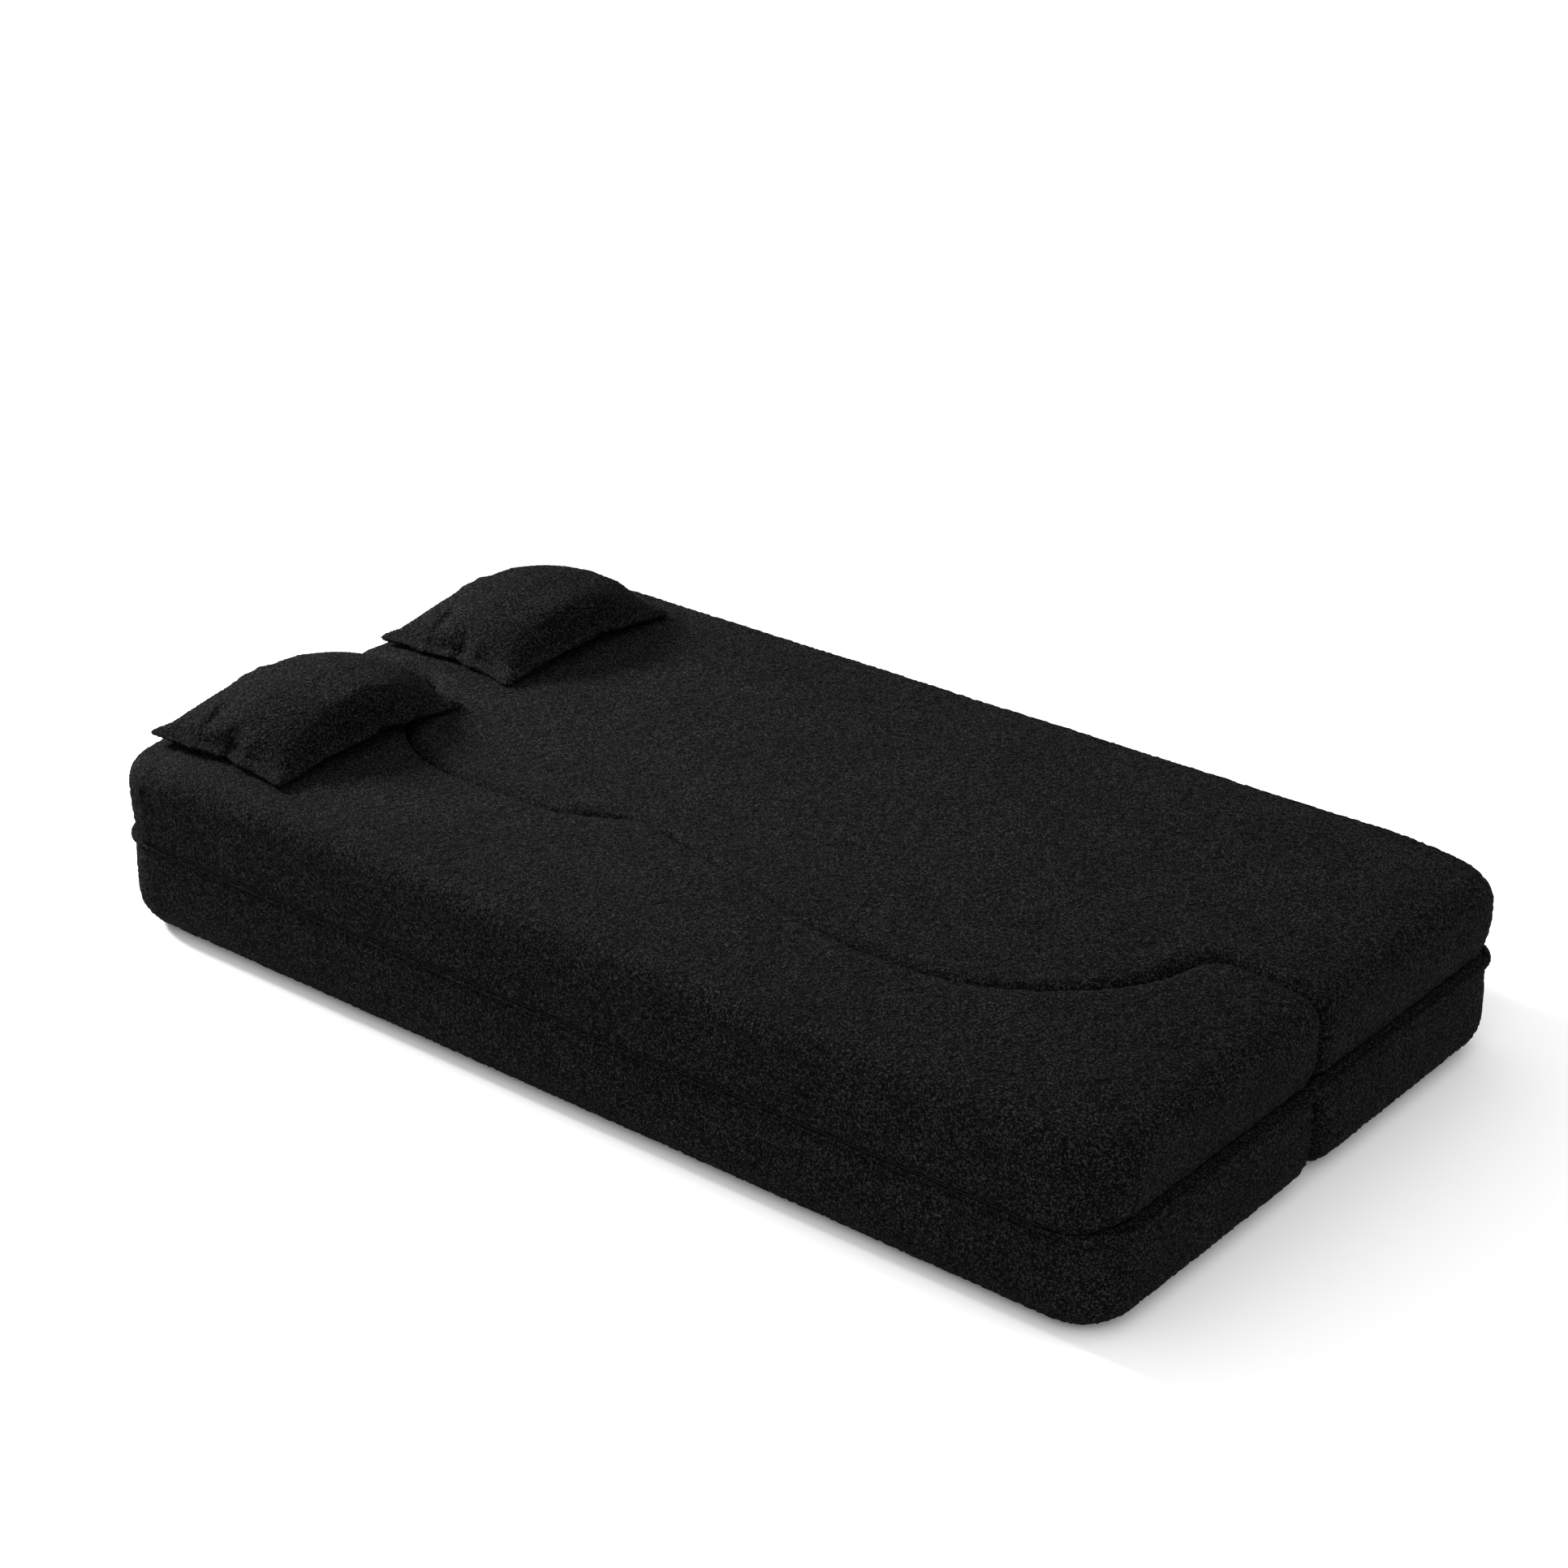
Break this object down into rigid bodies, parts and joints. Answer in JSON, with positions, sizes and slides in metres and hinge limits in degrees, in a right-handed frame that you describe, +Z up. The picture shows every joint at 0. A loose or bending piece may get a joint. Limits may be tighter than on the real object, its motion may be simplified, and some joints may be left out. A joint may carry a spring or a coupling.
{
  "type": "futon mattress",
  "caption": "Thick two-layer futon mattress in black bouclé, with a wavy split across its top, a near wing that folds out over a welted edge, and loose flanged pillows.",
  "frame": {"origin": "middle of the footprint, on the floor", "axes": "+X from the head to the foot, +Y from the near side with the folding wing to the far side, +Z up"},
  "size_m": [2.012, 1.128, 0.42],
  "materials": {
    "boucle_fabric": "black looped bouclé pile, matt",
    "lining_cloth": "plain black woven lining, matt",
    "grip_cloth": "black non-slip cloth with fine rubber dots",
    "foam": "open-cell foam",
    "fibre_filling": "loose polyester fibre",
    "zip_tape": "woven zip tape with a nylon coil",
    "zip_metal": "black lacquered zinc"
  },
  "bodies": {
    "base": {"near_lower_cover": "boucle_fabric", "near_lower_foam": "foam", "near_grip_panel": "grip_cloth", "near_lower_zip": "zip_tape", "far_lower_cover": "boucle_fabric", "far_lower_foam": "foam", "far_grip_panel": "grip_cloth", "far_lower_zip": "zip_tape", "far_upper_cover": "boucle_fabric", "far_upper_foam": "foam", "far_lining_panel": "lining_cloth", "far_upper_zip": "zip_tape", "far_hinge_tape": "boucle_fabric", "hinge_sheet": "lining_cloth", "edge_welt": "boucle_fabric"},
    "near_wing": {"near_upper_cover": "boucle_fabric", "near_upper_foam": "foam", "near_lining_panel": "lining_cloth", "near_upper_zip": "zip_tape", "near_hinge_tape": "boucle_fabric"},
    "near_pillow": {"near_pillow_cover": "boucle_fabric", "near_pillow_filling": "fibre_filling"},
    "far_pillow": {"far_pillow_cover": "boucle_fabric", "far_pillow_filling": "fibre_filling"},
    "near_lower_slider": {"near_lower_zip_slider": "zip_metal"},
    "near_lower_pull": {"near_lower_zip_pull": "zip_metal"},
    "near_upper_slider": {"near_upper_zip_slider": "zip_metal"},
    "near_upper_pull": {"near_upper_zip_pull": "zip_metal"},
    "far_lower_slider": {"far_lower_zip_slider": "zip_metal"},
    "far_lower_pull": {"far_lower_zip_pull": "zip_metal"},
    "far_upper_slider": {"far_upper_zip_slider": "zip_metal"},
    "far_upper_pull": {"far_upper_zip_pull": "zip_metal"}
  },
  "joints": [
    {"name": "near_wing_fold", "type": "hinge", "parent": "base", "child": "near_wing", "pos_m": [0, -0.559, 0.16], "axis": [1, 0, 0], "range_deg": [0, 180]},
    {"name": "near_pillow_lift", "type": "slide", "parent": "near_wing", "child": "near_pillow", "axis": [0, 0, 1], "range_m": [0, 0.25]},
    {"name": "far_pillow_lift", "type": "slide", "parent": "base", "child": "far_pillow", "axis": [0, 0, 1], "range_m": [0, 0.25]},
    {"name": "near_lower_zip_run", "type": "slide", "parent": "base", "child": "near_lower_slider", "axis": [0, 1, 0], "range_m": [0, 0.22]},
    {"name": "near_lower_pull_swing", "type": "hinge", "parent": "near_lower_slider", "child": "near_lower_pull", "pos_m": [-0.998, -0.3803, 0.1], "axis": [0, 0, 1], "range_deg": [0, 170]},
    {"name": "near_upper_zip_run", "type": "slide", "parent": "near_wing", "child": "near_upper_slider", "axis": [0, 1, 0], "range_m": [0, 0.22]},
    {"name": "near_upper_pull_swing", "type": "hinge", "parent": "near_upper_slider", "child": "near_upper_pull", "pos_m": [-0.998, -0.3803, 0.23], "axis": [0, 0, 1], "range_deg": [0, 170]},
    {"name": "far_lower_zip_run", "type": "slide", "parent": "base", "child": "far_lower_slider", "axis": [0, -1, 0], "range_m": [0, 0.22]},
    {"name": "far_lower_pull_swing", "type": "hinge", "parent": "far_lower_slider", "child": "far_lower_pull", "pos_m": [-0.998, 0.3803, 0.1], "axis": [0, 0, -1], "range_deg": [0, 170]},
    {"name": "far_upper_zip_run", "type": "slide", "parent": "base", "child": "far_upper_slider", "axis": [0, -1, 0], "range_m": [0, 0.22]},
    {"name": "far_upper_pull_swing", "type": "hinge", "parent": "far_upper_slider", "child": "far_upper_pull", "pos_m": [-0.998, 0.3803, 0.23], "axis": [0, 0, -1], "range_deg": [0, 170]}
  ]
}
